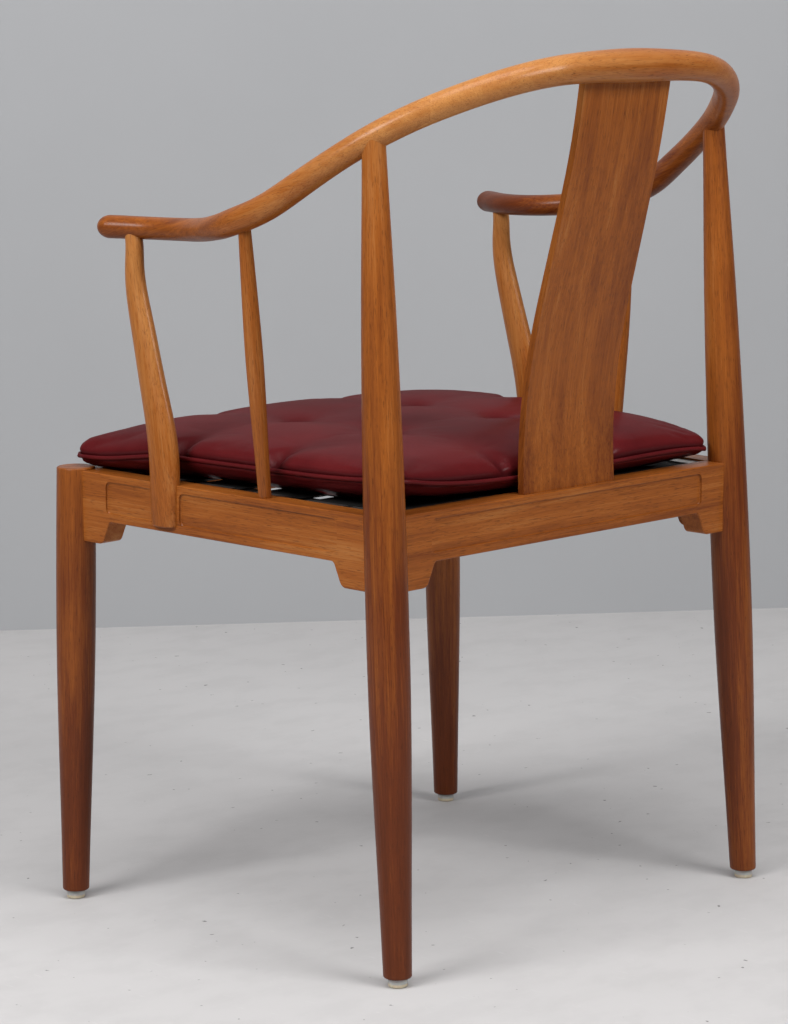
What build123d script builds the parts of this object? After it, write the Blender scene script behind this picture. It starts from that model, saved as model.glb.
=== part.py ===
from build123d import *
import math
import os

os.makedirs("parts", exist_ok=True)

# Millimetres. +X is the sitter's left, -Y the front, +Z up, and the floor is z = 0.

# Legs: the axis of each left leg, and the turned profile that all four share
FRONT_LEG_FOOT = Vector(262.0, -240.3, 0)
FRONT_LEG_HEAD = Vector(252.5, -239.0, 422.0)
REAR_LEG_FOOT = Vector(246.0, 183.6, 0)
REAR_LEG_HEAD = Vector(238.4, 161.6, 417.5)
LEG_PROFILE = [  # radius at each height along the leg
    (12.7, 0), (15.1, 97), (18.7, 245), (19.1, 340),
    (17, 527), (14.3, 630), (11.1, 722), (10, 770),
]
FRONT_LEG_TOP = 424.0
LEG_TOP_ROUND = 1.8
LEG_FOOT_ROUND = 2.0
POST_TENON_RADIUS = 6.5
POST_TENON_LENGTH = 24.0
GLIDE_HEIGHT = 8.2
GLIDE_RADIUS = 8.7
GLIDE_ROUND = 1.5
NAIL_HEAD_RADIUS = 3.0
NAIL_HEAD_FOOT = 1.2
NAIL_HEAD_TOP = 2.2
NAIL_RADIUS = 1.1
NAIL_LENGTH = 22.0

# Seat rails, in each rail's own plane: along, up from its top, and out from the leg axes
RAIL_HEIGHT = 45.2
RAIL_THICKNESS = 24.0
SIDE_RAIL_OUT = 7.7
END_RAIL_OUT = 9.3
BRACKET_DROP = 67.6
BRACKET_REACH = 44.5
BRACKET_ROOT = 54.5
BRACKET_ROUND = 8.0
BRACKET_COVE = 5.0
RAIL_EDGE_ROUND = 1.2
RECESS_START = 50.0
RECESS_TOP = 6.5
RECESS_BOTTOM = 37.7
RECESS_DEPTH = 2.5
RECESS_CORNER = 5.5
RECESS_COVE = 1.5
SIDE_RECESS_BREAK = (120.0, 150.0)  # where the stump parts the side rail's recess
TENON_THICKNESS = 9.0
TENON_ROOT = 26.0
TENON_REACH = 9.0  # how far each tenon passes the leg's axis
END_TENON = (-33.0, -8.0)  # bottom and top of the front and rear rails' tenons
SIDE_TENON = (-62.0, -36.0)

# Arm bow, from the middle of the crest to the left hand end:
# x, y, z, half depth and half height of the oval section, which is never higher than it is deep
BOW = [
    (0, 240, 804.5, 18.5, 15.2), (36, 240.5, 804.3, 17.4, 14.5), (70, 240, 803.3, 16, 13.7),
    (102, 237, 800.8, 14.8, 13.1), (132, 228, 795.5, 13.7, 12.7), (161, 214, 787.2, 12.6, 12.4),
    (188, 195, 776.2, 12.2, 12.2), (211, 171.5, 763, 12, 12), (229.5, 147, 748.1, 11.9, 11.9),
    (242.5, 121, 732, 11.8, 11.6), (251.5, 95, 715.4, 12, 11.8), (258, 70, 699.5, 12.2, 12.2),
    (263, 48, 686.1, 12.4, 12.4), (266, 28, 676.9, 12.4, 12.4), (266.8, 8, 670.3, 12.4, 12.3),
    (264.5, -12, 664.8, 12.3, 11.8), (258.5, -33, 660.9, 12.2, 11.2),
    (249.5, -56, 658, 12.1, 10.9), (241, -82, 656.2, 12, 10.7), (238, -108, 655.4, 12, 10.6),
    (240.5, -130, 655.2, 12.2, 10.6), (247.5, -151, 655.4, 12.5, 10.7),
    (258.3, -174.7, 655.8, 12.1, 10.9),
]
HAND_END_LENGTH = 13.0
JOINT_POINT = Vector(201.5, 182, 769.6)
FINGER_LENGTH = 12.0
FINGER_PITCH = 6.0
FINGER_COUNT = 3

# Arm stump, from the rail up to the arm: centre x, y, z, half width and half depth
STUMP = [
    (254.3, -108.8, 381, 9.9, 15.8), (254.3, -108.8, 402, 10.4, 16.7),
    (254.3, -108.8, 420, 10.5, 17.2), (254.3, -110, 451, 10.6, 17.6),
    (254, -116.2, 483, 10.4, 16.7), (252.9, -128.6, 526, 9.9, 14.6),
    (251.8, -140.8, 570, 9.4, 12.9), (251.3, -149.8, 614, 8.6, 10.1),
    (251, -154.5, 655, 7.8, 7.8),
]
STUMP_TENON_RADIUS = 5.0
STUMP_TENON_FOOT = 636.0
STUMP_TENON_LENGTH = 20.0
STUMP_FOOT_ROUND = 1.5

# Side spindle: lower and upper ends of its axis, and radius at each height along it
SPINDLE_FOOT = Vector(242.2, 14.1, 417)
SPINDLE_HEAD = Vector(263.4, 12.8, 668)
SPINDLE_PROFILE = [(5.9, 0), (6.1, 18), (7.9, 101), (8.2, 128), (7.4, 183), (6.3, 228), (5.6, 252)]
SPINDLE_TOP_TENON = (235.0, 256.0)
SPINDLE_TOP_RADIUS = 4.5
SPINDLE_FOOT_TENON = (-14.0, 6.0)
SPINDLE_FOOT_RADIUS = 5.0

# Back splat: height and y of its rear face, then half width at some heights
SPLAT_REAR = [
    (400, 167.8), (413, 166.8), (440, 165.7), (470, 166.1), (500, 168.3), (540, 174.1),
    (580, 182.8), (620, 193.5), (660, 204.5), (700, 215.1), (740, 224.4), (770, 230), (806, 236),
]
SPLAT_THICKNESS = 6.8
SPLAT_HALF_WIDTHS = [(400, 63.4), (413, 63.1), (470, 62), (540, 60.8), (620, 59.7), (720, 58.3), (806, 59)]
SPLAT_SHOULDER = 5.0
SPLAT_TENON = 12.0
SPLAT_TOP = 803.0
SPLAT_TOP_TENON = 780.0  # where the shoulders under the crest begin

# Webbing, below the rail tops: the lengthwise straps fan out towards the front
STRAP_THICKNESS = 1.6
LENGTHWISE_WIDTH = 34.0
LENGTHWISE_COUNT = 8
LENGTHWISE_FRONT_PITCH = 62.0
LENGTHWISE_REAR_PITCH = 58.0
CROSSWISE_WIDTH = 52.0
CROSSWISE_MIDDLES = [-142.0, -78.5, -2.0, 65.5, 119.5]  # laid by hand, so the gaps differ
UPPER_STRAP_LEVEL = -4.8
LOWER_STRAP_LEVEL = -6.6
STRAP_FOLD = 26.0
STAPLE = 0.9
STAPLE_CROWN = 9.0
STAPLE_LEG = 7.0
STAPLE_DROP = 18.0
PLATE_WIDTH = 46.0
PLATE_REACH = 16.0
PLATE_THICKNESS = 1.2

# Cushion, on the plane of the rail tops: height and inset from the seam
CUSHION_FRONT = -4.0
CUSHION_BACK = 393.0
CUSHION_FRONT_HALF = 250.0
CUSHION_BACK_HALF = 212.0
CUSHION_CORNER = 20.0
SEAM_LEVEL = 21.0
CUSHION_UNDER = [(-0.8, 80), (6.5, 38), (13, 16), (SEAM_LEVEL, 0)]
CUSHION_UPPER = [(SEAM_LEVEL, 0), (30, 8), (38, 26), (44, 60), (47, 110)]
COVER_THICKNESS = 1.5
PIPING_RADIUS = 2.0


def plane_along(start, end):
    """Plane whose x runs from start to end, whose y is up and whose z points outwards."""
    along = (end - start).normalized()
    return Plane(origin=start, x_dir=along, z_dir=along.cross(Vector(0, 0, 1)))


def axis_plane(foot, head):
    """Plane at foot whose z runs up the axis of a turned piece."""
    return Plane(origin=foot, x_dir=(1, 0, 0), z_dir=(head - foot).normalized())


def mirrored(shape):
    return mirror(shape, about=Plane.YZ)


def right(point):
    return Vector(-point.X, point.Y, point.Z)


SEAT_PLANE = Plane(
    origin=(0, FRONT_LEG_HEAD.Y, FRONT_LEG_HEAD.Z),
    x_dir=(1, 0, 0),
    z_dir=(0, FRONT_LEG_HEAD.Z - REAR_LEG_HEAD.Z, REAR_LEG_HEAD.Y - FRONT_LEG_HEAD.Y),
)
SIDE_PLANE = plane_along(FRONT_LEG_HEAD, REAR_LEG_HEAD)
FRONT_PLANE = plane_along(right(FRONT_LEG_HEAD), FRONT_LEG_HEAD)
REAR_PLANE = plane_along(REAR_LEG_HEAD, right(REAR_LEG_HEAD))
SIDE_LENGTH = (REAR_LEG_HEAD - FRONT_LEG_HEAD).length
FRONT_LENGTH = 2 * FRONT_LEG_HEAD.X
REAR_LENGTH = 2 * REAR_LEG_HEAD.X


def turned(foot, head, profile):
    """A piece turned about the line from foot to head."""
    points = [(radius, height) for radius, height in profile]
    length = points[-1][1]
    outline = Spline(points) + Polyline(points[-1], (0, length), (0, 0), points[0])
    blank = revolve(make_face(Plane.XZ * outline), Axis.Z)
    return axis_plane(foot, head).location * blank


def peg(foot, head, radius, start, end):
    """A round tenon on the same line, from start to end along it."""
    return axis_plane(foot, head).offset(start).location * Cylinder(
        radius, end - start, align=(Align.CENTER, Align.CENTER, Align.MIN))


def rail_box(plane, start, end, low, high, inner, outer):
    """A box in a rail's own plane: along, up and out."""
    size = Box(end - start, high - low, outer - inner, align=(Align.MIN, Align.MIN, Align.MIN))
    return plane.location * (Pos(start, low, inner) * size)


def corners(face, drop):
    """The corners of a rail's outline at one depth below its top."""
    return [v for v in face.vertices() if abs(v.Y + drop) < 0.1]


def rail_blank(plane, length, out):
    """A seat rail with its bracket ends, before it is fitted between the legs."""
    half = [(0, 0), (0, -BRACKET_DROP), (BRACKET_REACH, -BRACKET_DROP), (BRACKET_ROOT, -RAIL_HEIGHT)]
    other = [(length - along, up) for along, up in reversed(half)]
    face = make_face(Polyline(*half, *other, close=True))
    face = fillet([v for v in corners(face, BRACKET_DROP) if 1 < v.X < length - 1], BRACKET_ROUND)
    face = fillet(corners(face, RAIL_HEIGHT), BRACKET_COVE)
    blank = extrude(Pos(0, 0, out - RAIL_THICKNESS) * face, RAIL_THICKNESS)
    outer_edges = blank.faces().sort_by(Axis.Z)[-1].edges()
    return plane.location * fillet(outer_edges, RAIL_EDGE_ROUND)


def recess(plane, start, end, out):
    """The shallow panel sunk in a rail's outer face."""
    panel = RectangleRounded(end - start, RECESS_BOTTOM - RECESS_TOP, RECESS_CORNER)
    cutter = extrude(panel, 2 * RECESS_DEPTH)
    cutter = fillet(cutter.faces().sort_by(Axis.Z)[0].edges(), RECESS_COVE)
    middle = Pos((start + end) / 2, -(RECESS_TOP + RECESS_BOTTOM) / 2, out - RECESS_DEPTH)
    return plane.location * (middle * cutter)


def tenons(plane, length, out, levels):
    """The two tenons of a rail, each passing the axis of its leg."""
    outer = out - (RAIL_THICKNESS - TENON_THICKNESS) / 2
    inner = outer - TENON_THICKNESS
    near = rail_box(plane, -TENON_REACH, TENON_ROOT, *levels, inner, outer)
    far = rail_box(plane, length - TENON_ROOT, length + TENON_REACH, *levels, inner, outer)
    return near, far


def bow_section(index, stations):
    """The oval section of the bow at one station, square to the run of the bow."""
    here = stations[index]
    before = Vector(*stations[max(index - 1, 0)][:3])
    after = Vector(*stations[min(index + 1, len(stations) - 1)][:3])
    run = (after - before).normalized()
    plane = Plane(origin=here[:3], x_dir=run.cross(Vector(0, 0, 1)), z_dir=run)
    return plane * Ellipse(here[3], here[4])


def half_bow():
    """The left half of the horseshoe bow, with its rounded hand end.

    The loft starts past the middle and is cut there, so the two halves meet without a crease.
    """
    past_middle = [(-x, y, z, depth, height) for x, y, z, depth, height in BOW[3:0:-1]]
    stations = past_middle + BOW
    body = loft([bow_section(index, stations) for index in range(len(stations))])
    body = split(body, Plane.YZ, Keep.TOP)
    x, y, z, depth, height = BOW[-1]
    run = (Vector(x, y, z) - Vector(*BOW[-2][:3])).normalized()
    end_plane = Plane(origin=(x, y, z), x_dir=run.cross(Vector(0, 0, 1)), z_dir=run)
    end = end_plane.location * scale(Sphere(1), by=(depth, height, HAND_END_LENGTH))
    return body + end


def finger_cutter():
    """A block that holds the left arm's side of the finger joint."""
    edge = FINGER_COUNT * FINGER_PITCH / 2
    zigzag = [(0, 60), (0, edge)]
    for tooth in range(FINGER_COUNT):
        zigzag.append((FINGER_LENGTH, edge - (tooth + 0.5) * FINGER_PITCH))
        zigzag.append((0, edge - (tooth + 1) * FINGER_PITCH))
    zigzag.append((0, -60))
    block = make_face(Polyline(*zigzag, (600, -60), (600, 60), close=True))
    run = (Vector(*BOW[7][:3]) - Vector(*BOW[6][:3]))
    plane = Plane(origin=JOINT_POINT, x_dir=(run.X, run.Y, 0), z_dir=(0, 0, 1))
    near = plane.location * (Pos(0, 0, -300) * extrude(block, 600))
    far = Pos(250, -70, 700) * Box(160, 420, 300)
    return near + far


def stump_blank():
    """The curved post under the front of the arm."""
    return loft([Pos(x, y, z) * Ellipse(wide, deep) for x, y, z, wide, deep in STUMP])


def splat_blank(shoulder, low, high):
    """The bent splat between two heights, narrowed by a shoulder on each side."""
    rear = [(y, z) for z, y in SPLAT_REAR]
    front = [(y - SPLAT_THICKNESS, z) for z, y in SPLAT_REAR]
    side = Spline(rear) + Line(rear[-1], front[-1]) + Spline(front) + Line(front[0], rear[0])
    board = extrude(make_face(Plane.YZ * side), 80, both=True)
    left = [(half - shoulder, z) for z, half in SPLAT_HALF_WIDTHS]
    other = [(-x, z) for x, z in left]
    edge = Spline(left) + Line(left[-1], other[-1]) + Spline(other) + Line(other[0], left[0])
    outline = extrude(make_face(Plane.XZ * edge), 400, both=True)
    block = Pos(0, 200, (low + high) / 2) * Box(200, 200, high - low)
    return board & outline & block


def well():
    """The space inside the four rails, as an upright prism."""
    run = REAR_LEG_HEAD - FRONT_LEG_HEAD
    lean = -run.X / run.Y
    inner = (RAIL_THICKNESS - SIDE_RAIL_OUT) * math.hypot(1, lean)
    front = RAIL_THICKNESS - END_RAIL_OUT
    back = run.Y - front
    front_half = FRONT_LEG_HEAD.X - lean * front - inner
    back_half = FRONT_LEG_HEAD.X - lean * back - inner
    face = make_face(Polyline(
        (front_half, front), (back_half, back), (-back_half, back), (-front_half, front), close=True))
    return Pos(0, FRONT_LEG_HEAD.Y, REAR_LEG_HEAD.Z - RAIL_HEIGHT) * extrude(face, 2 * RAIL_HEIGHT)


def lengthwise_middles():
    """Where the lengthwise straps meet the front rail and the rear rail."""
    steps = [index - (LENGTHWISE_COUNT - 1) / 2 for index in range(LENGTHWISE_COUNT)]
    return [(step * LENGTHWISE_FRONT_PITCH, step * LENGTHWISE_REAR_PITCH) for step in steps]


def lengthwise_strap(front, back):
    """A strap from the front rail to the rear rail, longer than the well."""
    half = LENGTHWISE_WIDTH / 2
    inset = RAIL_THICKNESS - END_RAIL_OUT
    spread = (front - back) / (SIDE_LENGTH - 2 * inset)
    start = front + spread * inset
    end = start - spread * SIDE_LENGTH
    face = make_face(Polyline(
        (start - half, 0), (start + half, 0), (end + half, SIDE_LENGTH), (end - half, SIDE_LENGTH),
        close=True))
    return SEAT_PLANE.location * (Pos(0, 0, LOWER_STRAP_LEVEL) * extrude(face, STRAP_THICKNESS))


def crosswise_strap(middle):
    """A strap from side to side, longer than the well."""
    place = Pos(0, middle - FRONT_LEG_HEAD.Y, UPPER_STRAP_LEVEL)
    low = (Align.CENTER, Align.CENTER, Align.MIN)
    return SEAT_PLANE.location * (place * Box(FRONT_LENGTH, CROSSWISE_WIDTH, STRAP_THICKNESS, align=low))


def fold(plane, out, middle, width, level):
    """The end of a strap turned down the inner face of a rail."""
    inner = out - RAIL_THICKNESS
    return rail_box(plane, middle - width / 2, middle + width / 2,
                    -STRAP_FOLD, level + STRAP_THICKNESS, inner - STRAP_THICKNESS, inner)


def staple(plane, out, middle):
    """A staple through a turned-down strap end into the rail."""
    inner = out - RAIL_THICKNESS
    face = inner - STRAP_THICKNESS
    start = middle - STAPLE_CROWN / 2
    end = middle + STAPLE_CROWN / 2
    low = -STAPLE_DROP
    high = low + STAPLE
    crown = rail_box(plane, start, end, low, high, face - STAPLE, face)
    first = rail_box(plane, start, start + STAPLE, low, high, face, inner + STAPLE_LEG)
    last = rail_box(plane, end - STAPLE, end, low, high, face, inner + STAPLE_LEG)
    return crown + first + last


def flat_staple(plane, out, middle):
    """A flat staple as wide as a crosswise strap, lying on its end, with two legs in the rail."""
    inner = out - RAIL_THICKNESS
    start = middle - PLATE_WIDTH / 2
    end = middle + PLATE_WIDTH / 2
    low = UPPER_STRAP_LEVEL + STRAP_THICKNESS
    high = low + PLATE_THICKNESS
    crown = rail_box(plane, start, end, low, high, inner - PLATE_REACH, inner)
    first = rail_box(plane, start, start + STAPLE, low, high, inner, inner + STAPLE_LEG)
    last = rail_box(plane, end - STAPLE, end, low, high, inner, inner + STAPLE_LEG)
    return crown + first + last


def cushion_outline(height, inset):
    """The cushion's outline at one height, wider at the front, with rounded corners."""
    front = CUSHION_FRONT + inset
    back = CUSHION_BACK - inset
    wide = CUSHION_FRONT_HALF - inset
    narrow = CUSHION_BACK_HALF - inset
    turns = [(wide, front), (narrow, back), (-narrow, back), (-wide, front)]
    outline = FilletPolyline(*turns, radius=CUSHION_CORNER + inset / 4, close=True)
    return SEAT_PLANE.location * (Pos(0, 0, height) * make_face(outline))


def cushion_body(levels):
    """The cushion between its levels."""
    return loft([cushion_outline(height, inset) for height, inset in levels], ruled=True)


def foam_levels():
    """Levels of the filling, inside the covers."""
    under = [(height + COVER_THICKNESS, inset + 1) for height, inset in CUSHION_UNDER[:-1]]
    upper = [(height - COVER_THICKNESS, inset + 1) for height, inset in CUSHION_UPPER[1:]]
    return under + [(SEAM_LEVEL, COVER_THICKNESS + 1.2)] + upper


def piping_ring():
    """The welt that runs round the seam, an eight-sided cord in section."""
    reach = PIPING_RADIUS * math.cos(math.pi / 8)
    rise = PIPING_RADIUS * math.sin(math.pi / 8)
    cord = cushion_body([
        (SEAM_LEVEL - reach, rise), (SEAM_LEVEL - rise, -rise),
        (SEAM_LEVEL + rise, -rise), (SEAM_LEVEL + reach, rise),
    ])
    core = cushion_body([(SEAM_LEVEL - 5, COVER_THICKNESS), (SEAM_LEVEL + 5, COVER_THICKNESS)])
    return cord - core


def glide(foot):
    """A plastic foot disc with a countersink for its nail."""
    low = (Align.CENTER, Align.CENTER, Align.MIN)
    disc = Pos(foot.X, foot.Y, 0) * Cylinder(GLIDE_RADIUS, GLIDE_HEIGHT, align=low)
    disc = fillet(disc.edges().sort_by(Axis.Z)[0], GLIDE_ROUND)
    return disc - Pos(foot.X, foot.Y, 0) * Cylinder(NAIL_HEAD_RADIUS, NAIL_HEAD_TOP, align=low)


def nail(foot):
    """The nail that holds a glide."""
    low = (Align.CENTER, Align.CENTER, Align.MIN)
    head = Pos(foot.X, foot.Y, NAIL_HEAD_FOOT) * Cylinder(
        NAIL_HEAD_RADIUS, NAIL_HEAD_TOP - NAIL_HEAD_FOOT, align=low)
    return head + Pos(foot.X, foot.Y, NAIL_HEAD_FOOT) * Cylinder(NAIL_RADIUS, NAIL_LENGTH, align=low)


def main_solid(shape):
    """The largest solid that a cut leaves."""
    return max(shape.solids(), key=lambda solid: solid.volume)


def build_frame():
    parts = {}

    # Raw pieces of the left side and the middle
    bow = half_bow()
    floor_cut = Plane.XY.offset(GLIDE_HEIGHT)
    front_leg = split(turned(FRONT_LEG_FOOT, FRONT_LEG_HEAD, LEG_PROFILE), floor_cut, Keep.TOP)
    front_leg = split(front_leg, Plane.XY.offset(FRONT_LEG_TOP), Keep.BOTTOM)
    front_leg = fillet(front_leg.edges().sort_by(Axis.Z)[-1], LEG_TOP_ROUND)
    rear_leg = split(turned(REAR_LEG_FOOT, REAR_LEG_HEAD, LEG_PROFILE), floor_cut, Keep.TOP)
    rear_leg = split(rear_leg, Plane.XY.offset(BOW[8][2]), Keep.BOTTOM)
    front_leg = fillet(front_leg.edges().sort_by(Axis.Z)[0], LEG_FOOT_ROUND)
    rear_leg = fillet(rear_leg.edges().sort_by(Axis.Z)[0], LEG_FOOT_ROUND)
    stump = stump_blank()
    stump = fillet(stump.edges().sort_by(Axis.Z)[0], STUMP_FOOT_ROUND)
    spindle = turned(SPINDLE_FOOT, SPINDLE_HEAD, SPINDLE_PROFILE)

    # Tenons: the front and rear rails' are high, the side rails' are low, so they cross in the leg
    front_tenons = tenons(FRONT_PLANE, FRONT_LENGTH, END_RAIL_OUT, END_TENON)
    rear_tenons = tenons(REAR_PLANE, REAR_LENGTH, END_RAIL_OUT, END_TENON)
    side_tenons = tenons(SIDE_PLANE, SIDE_LENGTH, SIDE_RAIL_OUT, SIDE_TENON)
    post_length = (Vector(*BOW[8][:3]) - REAR_LEG_FOOT).length
    post_peg = peg(
        REAR_LEG_FOOT, REAR_LEG_HEAD, POST_TENON_RADIUS, post_length - POST_TENON_LENGTH, post_length + 4)
    stump_peg = Pos(STUMP[-1][0], STUMP[-1][1], STUMP_TENON_FOOT) * Cylinder(
        STUMP_TENON_RADIUS, STUMP_TENON_LENGTH, align=(Align.CENTER, Align.CENTER, Align.MIN))
    spindle_top = peg(SPINDLE_FOOT, SPINDLE_HEAD, SPINDLE_TOP_RADIUS, *SPINDLE_TOP_TENON)
    spindle_foot = peg(SPINDLE_FOOT, SPINDLE_HEAD, SPINDLE_FOOT_RADIUS, *SPINDLE_FOOT_TENON)

    # Bow, cut into a crest and two arms by the finger joints
    cutter = finger_cutter()
    arm = main_solid(bow & cutter)
    half_crest = main_solid(bow - cutter)
    crest = half_crest + mirrored(half_crest)
    arm_left = main_solid(arm - post_peg - stump_peg - spindle_top)
    splat_top = splat_blank(SPLAT_SHOULDER, SPLAT_TOP_TENON, SPLAT_TOP)
    parts["crest_rail"] = main_solid(crest - splat_top)
    parts["arm_rail_left"] = arm_left
    parts["arm_rail_right"] = mirrored(arm_left)

    # Legs with their mortises
    rear_nail = nail(REAR_LEG_FOOT)
    front_nail = nail(FRONT_LEG_FOOT)
    rear_leg_left = main_solid(rear_leg - bow) + post_peg
    rear_leg_left = main_solid(rear_leg_left - rear_tenons[0] - side_tenons[1] - rear_nail)
    front_leg_left = main_solid(front_leg - front_tenons[1] - side_tenons[0] - front_nail)
    parts["rear_leg_left"] = rear_leg_left
    parts["rear_leg_right"] = mirrored(rear_leg_left)
    parts["front_leg_left"] = front_leg_left
    parts["front_leg_right"] = mirrored(front_leg_left)

    # Stump and spindle
    stump_left = main_solid((stump - bow) + stump_peg)
    parts["arm_stump_left"] = stump_left
    parts["arm_stump_right"] = mirrored(stump_left)
    spindle_body = split(spindle, Plane(SIDE_PLANE.origin, z_dir=SEAT_PLANE.z_dir), Keep.TOP)
    spindle_left = main_solid((spindle_body - bow) + spindle_top + spindle_foot)
    parts["side_spindle_left"] = spindle_left
    parts["side_spindle_right"] = mirrored(spindle_left)

    # Splat, shouldered at both ends
    rail_top = REAR_LEG_HEAD.Z
    splat_body = main_solid(splat_blank(0, rail_top, SPLAT_TOP) - crest)
    splat_foot = splat_blank(SPLAT_SHOULDER, rail_top - SPLAT_TENON, rail_top + 4)
    parts["back_splat"] = main_solid(splat_body + splat_foot + splat_top)

    # Rails between the legs
    front_blank = rail_blank(FRONT_PLANE, FRONT_LENGTH, END_RAIL_OUT)
    rear_blank = rail_blank(REAR_PLANE, REAR_LENGTH, END_RAIL_OUT)
    side_blank = rail_blank(SIDE_PLANE, SIDE_LENGTH, SIDE_RAIL_OUT)
    front_rail = front_blank - recess(FRONT_PLANE, RECESS_START, FRONT_LENGTH - RECESS_START, END_RAIL_OUT)
    front_rail = main_solid(front_rail - front_leg - mirrored(front_leg))
    front_rail = front_rail + front_tenons[0] + front_tenons[1]
    rear_rail = rear_blank - recess(REAR_PLANE, RECESS_START, REAR_LENGTH - RECESS_START, END_RAIL_OUT)
    rear_rail = main_solid(rear_rail - rear_leg - mirrored(rear_leg))
    rear_rail = rear_rail + rear_tenons[0] + rear_tenons[1] - splat_foot
    break_start, break_end = SIDE_RECESS_BREAK
    side_rail = side_blank - recess(SIDE_PLANE, RECESS_START, break_start, SIDE_RAIL_OUT)
    side_rail = side_rail - recess(SIDE_PLANE, break_end, SIDE_LENGTH - RECESS_START, SIDE_RAIL_OUT)
    side_rail = main_solid(side_rail - front_leg - rear_leg)
    side_rail = side_rail - front_blank - rear_blank
    side_rail = main_solid(side_rail - stump) + side_tenons[0] + side_tenons[1]
    side_rail = main_solid(side_rail - spindle_foot)
    front_rail = front_rail - side_tenons[0] - mirrored(side_tenons[0])
    rear_rail = rear_rail - side_tenons[1] - mirrored(side_tenons[1])
    return parts, front_rail, rear_rail, side_rail


def build_webbing(front_rail, rear_rail, side_rail):
    parts = {}
    inside = well()
    lengthwise = []
    crosswise = []
    staples = []
    for front_x, back_x in lengthwise_middles():
        front_middle = front_x + FRONT_LEG_HEAD.X
        back_middle = REAR_LEG_HEAD.X - back_x
        top = lengthwise_strap(front_x, back_x) & inside
        front = fold(FRONT_PLANE, END_RAIL_OUT, front_middle, LENGTHWISE_WIDTH, LOWER_STRAP_LEVEL)
        back = fold(REAR_PLANE, END_RAIL_OUT, back_middle, LENGTHWISE_WIDTH, LOWER_STRAP_LEVEL)
        lengthwise.append(top + front + back)
        staples.append(staple(FRONT_PLANE, END_RAIL_OUT, front_middle))
        staples.append(staple(REAR_PLANE, END_RAIL_OUT, back_middle))
    for y in CROSSWISE_MIDDLES:
        middle = y - FRONT_LEG_HEAD.Y
        top = crosswise_strap(y) & inside
        left = fold(SIDE_PLANE, SIDE_RAIL_OUT, middle, CROSSWISE_WIDTH, UPPER_STRAP_LEVEL)
        crosswise.append(top + left + mirrored(left))
        plate = flat_staple(SIDE_PLANE, SIDE_RAIL_OUT, middle)
        staples.append(plate)
        staples.append(mirrored(plate))
    staple_group = Compound(children=[one.solid() for one in staples])
    parts["webbing_lengthwise"] = Compound(children=[(one - staple_group).solid() for one in lengthwise])
    parts["webbing_crosswise"] = Compound(children=[(one - staple_group).solid() for one in crosswise])
    parts["webbing_staples"] = staple_group
    parts["front_seat_rail"] = main_solid(front_rail - staple_group)
    parts["rear_seat_rail"] = main_solid(rear_rail - staple_group)
    side = main_solid(side_rail - staple_group)
    parts["side_seat_rail_left"] = side
    parts["side_seat_rail_right"] = mirrored(side)
    return parts


def build_feet():
    feet = {
        "front_left": FRONT_LEG_FOOT,
        "front_right": right(FRONT_LEG_FOOT),
        "rear_left": REAR_LEG_FOOT,
        "rear_right": right(REAR_LEG_FOOT),
    }
    parts = {}
    nails = []
    for place, foot in feet.items():
        pin = nail(foot)
        nails.append(pin.solid())
        parts[f"{place}_glide"] = glide(foot) - pin
    parts["glide_nails"] = Compound(children=nails)
    return parts


def build_cushion():
    foam = cushion_body(foam_levels())
    piping = piping_ring()
    upper = cushion_body(CUSHION_UPPER)
    under = cushion_body(CUSHION_UNDER)
    return {
        "cushion_foam": foam,
        "cushion_piping": piping,
        "cushion_cover_top": main_solid(upper - foam - piping),
        "cushion_cover_bottom": main_solid(under - foam - piping),
    }


def build_chair():
    frame_parts, front_rail, rear_rail, side_rail = build_frame()
    parts = dict(frame_parts)
    parts.update(build_webbing(front_rail, rear_rail, side_rail))
    parts.update(build_feet())
    parts.update(build_cushion())
    return parts


for name, shape in build_chair().items():
    export_step(shape, f"parts/{name}.step")
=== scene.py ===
# %% [markdown]
# # A horseshoe back armchair
#
# The chair is a cherry-coloured wooden frame with a loose leather cushion. Its solids come
# from the packed model, so every leg, rail and spindle already stands in its place. What is
# left for Blender is the look: grain that runs along each piece of wood, ribbed straps under
# the seat, and a padded cushion with valleys, folds, tufts and a welt round its edge.

# %% Load the fixed frame
import math

import bpy
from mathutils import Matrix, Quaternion, Vector


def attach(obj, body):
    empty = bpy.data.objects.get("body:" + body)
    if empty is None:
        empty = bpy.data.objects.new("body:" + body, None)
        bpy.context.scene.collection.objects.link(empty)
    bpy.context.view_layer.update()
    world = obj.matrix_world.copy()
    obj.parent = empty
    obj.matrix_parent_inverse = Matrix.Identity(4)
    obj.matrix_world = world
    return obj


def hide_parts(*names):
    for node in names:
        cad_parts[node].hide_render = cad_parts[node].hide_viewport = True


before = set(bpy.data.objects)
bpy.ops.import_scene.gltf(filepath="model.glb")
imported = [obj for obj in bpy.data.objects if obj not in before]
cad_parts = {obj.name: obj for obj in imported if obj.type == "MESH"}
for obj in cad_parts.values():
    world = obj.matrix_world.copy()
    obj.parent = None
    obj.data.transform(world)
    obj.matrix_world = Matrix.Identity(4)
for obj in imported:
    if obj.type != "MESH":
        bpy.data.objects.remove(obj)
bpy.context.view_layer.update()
bpy.ops.object.select_all(action="DESELECT")

# %% [markdown]
# ## The camera
#
# The view is a long lens three metres away, behind the chair and to its left, at about the
# height of the crest. A long lens keeps the legs nearly parallel. A constraint could aim the
# camera at the chair, but three angles are easier to read and to change: it is turned to its
# compass direction first, then tipped down, then rolled by a fifth of a degree.

# %% Camera
CAMERA_PLACE = Vector((2.1475, 2.0492, 0.8542))
CAMERA_AZIMUTH = math.radians(134.498)
CAMERA_PITCH = math.radians(9.145)
CAMERA_ROLL = math.radians(-0.188)
CAMERA_LENS = 109.77
CAMERA_SENSOR = 36.0


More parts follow.
